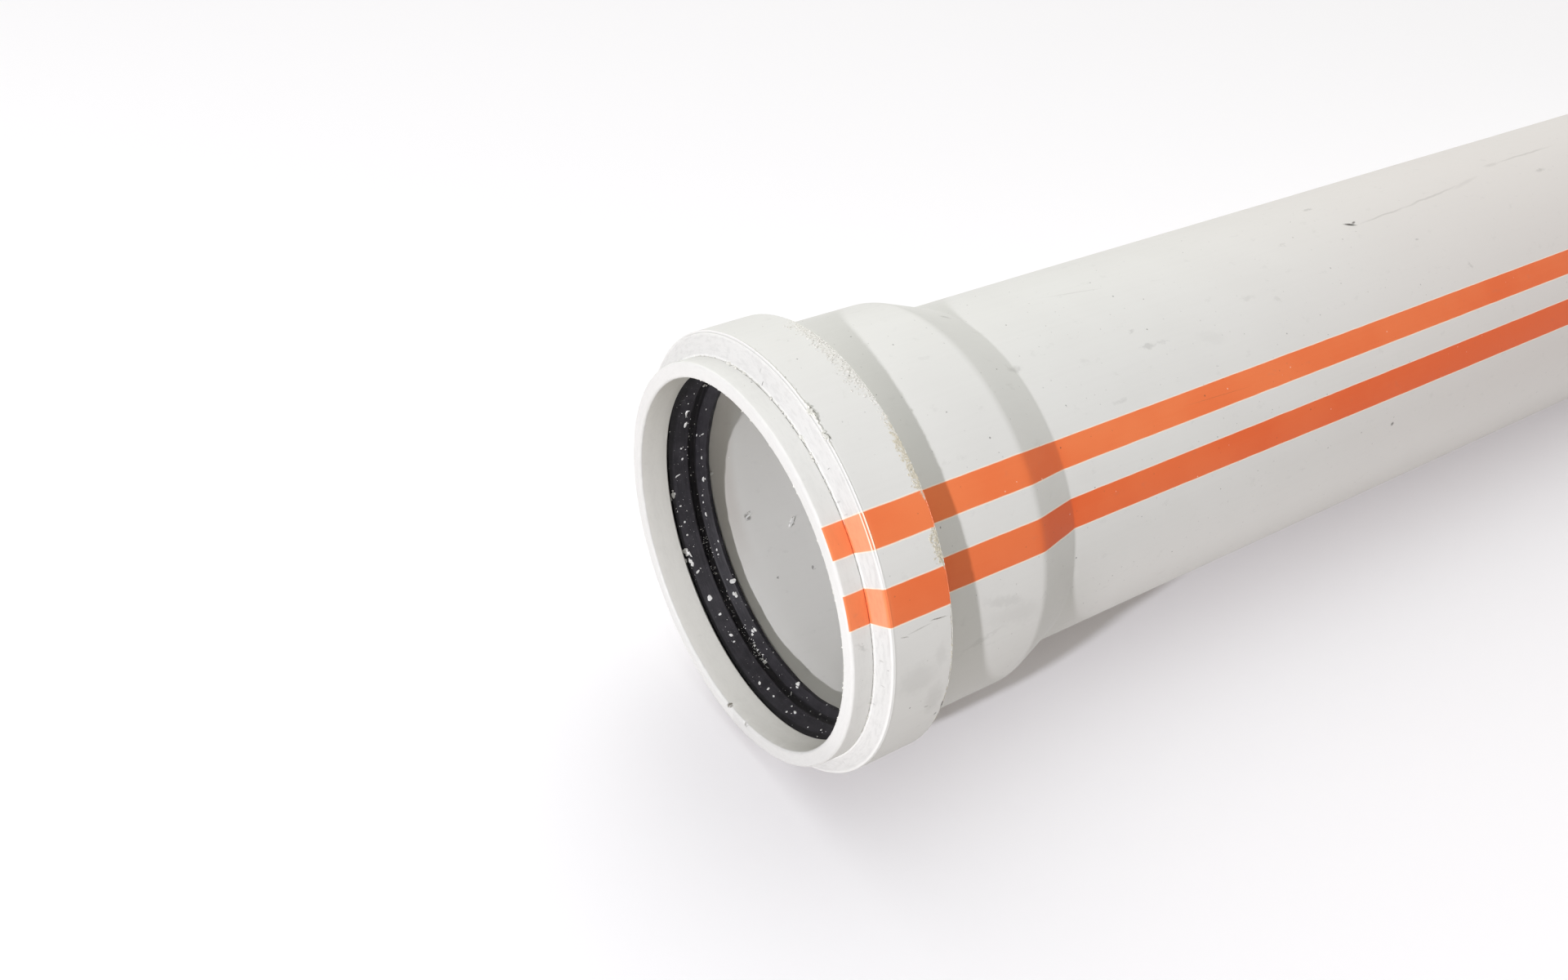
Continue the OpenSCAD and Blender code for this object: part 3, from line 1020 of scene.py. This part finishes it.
# Painted shadows of tiny burrs: dark ticks across the rim's inner corner.
tick_places = pvc.vector("MULTIPLY", own, (0.4, 1.7, 1.7))
rim_burr_shadows = pvc.noise(tick_places, 1.3, 3.0, 0.6).rise(0.62, 0.70) * radius.rise(mouth_r + 0.9, mouth_r + 0.2)
rim_burr_shadows = rim_burr_shadows * station.rise(0.9, 0.3) * (span(turn, 55, 105, 5) * 0.8 + span(turn, -40, 30, 6) * 0.45)
rim_dirt = marks(pvc, soft_places, [
    (0.3, -177.2, 0.5, 0.8, 0, 0.9), (0.4, -179.8, 0.3, 0.4, 0, 0.6), (0.4, 172.6, 0.35, 0.6, 0, 0.5),
])
rim_dirt = rim_dirt * radius.rise(mouth_r + 0.8, mouth_r + 0.3)

# %% [markdown]
# The shoulder is scuffed, and painted shade darkens it and the rim's cut face, where the
# key lamp falls full on them. A line of painted shade lies in the bevel between the beads,
# which carry a painted highlight on the upper stripe, and the shoulder's orange is painted
# paler. All of it is laid over the colour one by one, from the faintest stain to the last speck.

# %% Wear, painted light and painted shade of the shoulder, and the layers together
shoulder = span(station, neck_length + 0.1, bend_at - 0.05, 0.05) * radius.rise(neck_r + 0.1, neck_r + 0.3)
before_beads = station.rise(bend_at + 0.4, bend_at + 0.1)
scuffs = pvc.noise(around, 1.6, 4.0, 0.6).rise(0.44, 0.64) * before_beads
scratched = pvc.noise(around, 5.0, 3.0, 0.6).rise(0.60, 0.70) * before_beads
on_bevel = radius.rise(bend_r - 0.2, bend_r)
# Painted shade: a grey line in the bevel between the two beads.
bevel_painted_shade = span(station, bend_at + 0.12, edge_at - 0.12, 0.06) * on_bevel
# Painted highlight on the two beads, laid on the upper stripe only.
ridge = span(station, bend_at - 0.06, edge_at + 0.06, 0.05) * (1 - bevel_painted_shade) * on_bevel
worn = shoulder * 0.65 + 0.35
# Real scuffs and scratches, with painted shade over the whole shoulder and in the bevel.
scuffs_and_painted_shade = shoulder * 0.15 + (scuffs * 0.07 + scratched * 0.06 * outer) * worn + bevel_painted_shade * 0.20
# Painted shade on the rim's cut face, less between 60 and 100 degrees and more low down.
rim_face_painted_shade = station.rise(0.35, 0.1) * (0.10 - span(turn, 60, 100, 18) * 0.06 + turn.rise(110, 125) * 0.07)
# Dark specks, nicks and crust dots, with painted shade in the crease and painted shadows of burrs.
dirt_and_painted_shade = (dark_specks | faint_specks) * (1 - far * 0.6) | nicks_and_burr_shadows | crust_dots * 0.6 | crease * 0.7 | rim_burr_shadows
layers = [
    # how much of it there is, and its colour
    (smudges | stains | inside_marks, colour(120, 118, 112)),
    (lip_painted_shadow * 0.20, colour(150, 128, 108)),
    # painted highlight on the beads
    (ridge * orange_mask * turn.rise(58, 56) * 0.8, CREAM),
    # painted light: the shoulder's orange painted paler
    (shoulder * orange_mask * 0.45, colour(234, 186, 150)),
    (scuffs_and_painted_shade + rim_face_painted_shade, colour(20, 20, 20)),
    (crust * 0.85, crust_colour),
    (rear_line * 0.7, colour(132, 120, 104)),
    (white_specks, colour(250, 225, 205)),
    (scratches | drags | rim_dirt, colour(92, 84, 70)),
    (dirt_and_painted_shade, colour(70, 66, 60)),
]
for amount, paint in layers:
    skin_colour = pvc.blend(amount, skin_colour, paint)

gloss = pvc.noise(own, 0.5, 3.0) * 0.10 + 0.34 + smudges * 0.25 + streaks * 0.04 + crust * 0.3
peel = pvc.noise(own, 1.6, 1.0) * 0.5 + streaks * 0.8
bump = pvc.add("ShaderNodeBump", None, {"Strength": 0.35, "Distance": 0.00004, "Height": peel})
pvc.feed(Base_Color=skin_colour, Roughness=gloss, Normal=bump)

# %% [markdown]
# ## Rubber, crumbs and grit
#
# The ring is carbon-black rubber with a dull skin and a bloom of dust on it, and specks
# too small to be worth a flake. The crumbs are shavings of the pipe itself, a little
# whiter because they are torn. Flash is torn too, and orange where it crosses a
# stripe. Each grain of grit is a slightly different beige.

# %% Finishes of the small things
rubber = Finish("rubber_black", Specular_IOR_Level=0.25)
own, station, turn, _ = rubber.pipe_places()
bloom = rubber.noise(own, 0.35, 5.0, 0.6)
mould = rubber.noise(rubber.vector("MULTIPLY", own, (6.0, 0.25, 0.25)), 1.0, 2.0)
ring_places = rubber.add("ShaderNodeCombineXYZ", None, {0: station, 1: turn * (math.pi / 180 * wiper_r)})
dust = specks(rubber, ring_places, 1.1, 0.07, 0.4) * 0.30
cloudy = (bloom * 0.7 + mould * 0.3).rise(0.35, 0.75)
rubber_colour = rubber.blend(cloudy, colour(26, 24, 28), colour(46, 44, 48))
rubber_colour = rubber.blend(dust, rubber_colour, colour(190, 190, 186))
skin_height = rubber.noise(own, 2.2, 3.0) * 0.7 + mould * 0.6
bump = rubber.add("ShaderNodeBump", None, {"Strength": 0.5, "Distance": 0.00006, "Height": skin_height})
rubber.feed(Base_Color=rubber_colour, Roughness=bloom * 0.2 + 0.42, Normal=bump)

shavings = Finish("pvc_shavings", Roughness=0.5)
shade = shavings.noise(shavings.pipe_places()[0], 1.3, 2.0)
shavings.feed(Base_Color=shavings.blend(shade.rise(0.3, 0.7), colour(250, 250, 248), colour(224, 224, 220)))

torn = Finish("pvc_torn", Roughness=0.4)
own, station, turn, radius = torn.pipe_places()
in_stripe = stripe_band(turn, station, 0.0, 0.2) * radius.rise(neck_r + 2.0, neck_r + 3.0)
shade = torn.noise(own, 2.0, 2.0).rise(0.3, 0.7)
torn_grey = torn.blend(shade, colour(228, 228, 222), colour(204, 203, 194))
torn.feed(Base_Color=torn.blend(in_stripe, torn_grey, ORANGE))

grit = Finish("grit_beige", Roughness=0.7)
own, _, turn, _ = grit.pipe_places()
grain = grit.noise(own, 3.0, 2.0)
grit_colour = grit.blend(grain.rise(0.35, 0.6), colour(232, 231, 227), colour(216, 214, 208))
grit_colour = grit.blend(grain.rise(0.64, 0.70), grit_colour, colour(160, 157, 148))
grit.feed(Base_Color=grit.blend(turn.rise(26, 34) * 0.7, grit_colour, colour(196, 188, 164)))

# %% [markdown]
# ## Giving each piece its finish and its place on the part
#
# The two turned surfaces stand for the two solids of the part. The small things ride
# on the same body, because nothing on a pipe moves.

# %% Finish and body of each piece
dressed = [
    (pipe_wall, pvc, "pvc"), (seal_rubber, rubber, "rubber"),
    (seal_crumbs, shavings, "pvc"), (sleeve_crumbs, shavings, "pvc"), (edge_grit, grit, "pvc"),
    *[(piece, torn, "pvc") for piece in (*fringes, crease_chips, front_lumps)],
]
for piece, finish, slot in dressed:
    piece.data.materials.append(finish.material)
    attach(piece, "root")
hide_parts("pipe")
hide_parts("seal_ring")
print(len(dressed), "pieces dressed")

# %% [markdown]
# ## Floor, light and camera
#
# The pipe lies on a pale floor. Light Path tells rays apart: camera and reflections
# find the floor lighter than the light that it throws back on the pipe, with a trace
# of glow, so it is as white as the background but keeps its shadow.

# %% Floor
FLOOR_HALF = 10.0
GLOW = 0.13
floor_corners = FLOOR_HALF * np.array([[-1, -1, 0], [1, -1, 0], [1, 1, 0], [-1, 1, 0]], float)
floor = build_mesh("floor", floor_corners, np.array([[0, 1, 2, 3]]), closed=False)
pale = Finish("floor_pale", Roughness=0.9, Specular_IOR_Level=0.2)
seen = pale.plain_rays()
pale.feed(Base_Color=pale.blend(seen, colour(218, 214, 210), colour(246, 247, 251)))
shine = pale.add("ShaderNodeEmission", None, {"Color": (1.0, 0.87, 0.80, 1.0)})
matt = Value(pale, pale.shader.outputs[0])
lifted = pale.add("ShaderNodeMixShader", None, {0: seen * GLOW, 1: matt, 2: shine})
pale.tree.links.new(lifted.socket, pale.tree.nodes["Material Output"].inputs["Surface"])
floor.data.materials.append(pale.material)

# %% [markdown]
# The light is a bright room: four soft lobes of the world, each the cosine of the
# angle to its middle, raised to the fourth power, so that nothing on the pipe shows
# the edge of a lamp. They are overhead, low behind the pipe, high beyond its plain
# end, and faint on the near left. Camera and reflections find a plain white world.

# %% World with soft lobes
PLAIN_WHITE = 0.9
world = bpy.data.worlds.new("soft_room")
world.use_nodes = True
bpy.context.scene.world = world
sky = Nodes(world.node_tree)
towards = sky.add("ShaderNodeTexCoord", output=0)


def lobe(azimuth, elevation, strength):
    """Strength times the fourth power of the cosine to a direction, and 0 behind it."""
    turn, rise = math.radians(azimuth), math.radians(elevation)
    middle = (math.cos(turn) * math.cos(rise), math.sin(turn) * math.cos(rise), math.sin(rise))
    return (sky.vector("DOT_PRODUCT", towards, middle, output=1) | 0.0) ** 4 * strength


room = lobe(0, 90, 1.26) + lobe(60, 17, 1.85) + lobe(25, 55, 0.62) + lobe(235, 15, 0.22)
plain = sky.plain_rays()
tint = sky.blend(plain, (1.0, 1.0, 0.965, 1.0), (1.0, 1.0, 1.0, 1.0))
background = sky.tree.nodes["Background"]
sky.tree.links.new(tint.socket, background.inputs["Color"])
sky.tree.links.new((room + (PLAIN_WHITE - room) * plain).socket, background.inputs["Strength"])
print("world of", len(sky.tree.nodes), "nodes")

# %% [markdown]
# A key lamp on the left, in front of the mouth, makes the rim and shoulder the
# brightest parts. It is small, so the housing throws a crisp shadow on the sleeve.

# %% Key lamp
KEY_DISTANCE = 1.8
to_key = unit(-0.886 * along + 0.330 * own_up + 0.328 * towards_stripes)
key = bpy.data.lights.new("key", "AREA")
key.shape = "DISK"
key.size = 0.035 * KEY_DISTANCE
key.energy = 29.5
key.color = (0.99, 0.98, 1.04)
key_lamp = bpy.data.objects.new("key", key)
key_lamp.location = mouth + to_key * KEY_DISTANCE
key_lamp.rotation_euler = Vector(to_key).to_track_quat("Z", "Y").to_euler()
bpy.context.scene.collection.objects.link(key_lamp)
print("key lamp", round(1000 * key.size), "mm across")

# %% [markdown]
# The camera looks down into the socket from the side of the stripes, so that the ring,
# both stripes and the run of the barrel are seen.

# %% Camera
CAMERA_AT = (-0.37239, -0.17713, 0.20554)
HEADING = 32.56
DIP = 35.03
FOCAL = 30.834
lens = bpy.data.cameras.new("camera")
lens.sensor_width = 36.0
lens.lens = FOCAL
lens.clip_start = 0.01
camera = bpy.data.objects.new("camera", lens)
camera.location = CAMERA_AT
camera.rotation_euler = (math.radians(90 - DIP), 0, math.radians(-HEADING))
bpy.context.scene.collection.objects.link(camera)
bpy.context.scene.camera = camera
bpy.context.scene.view_settings.view_transform = "Standard"
print("camera", round(math.dist(CAMERA_AT, mouth), 3), "m from the mouth")
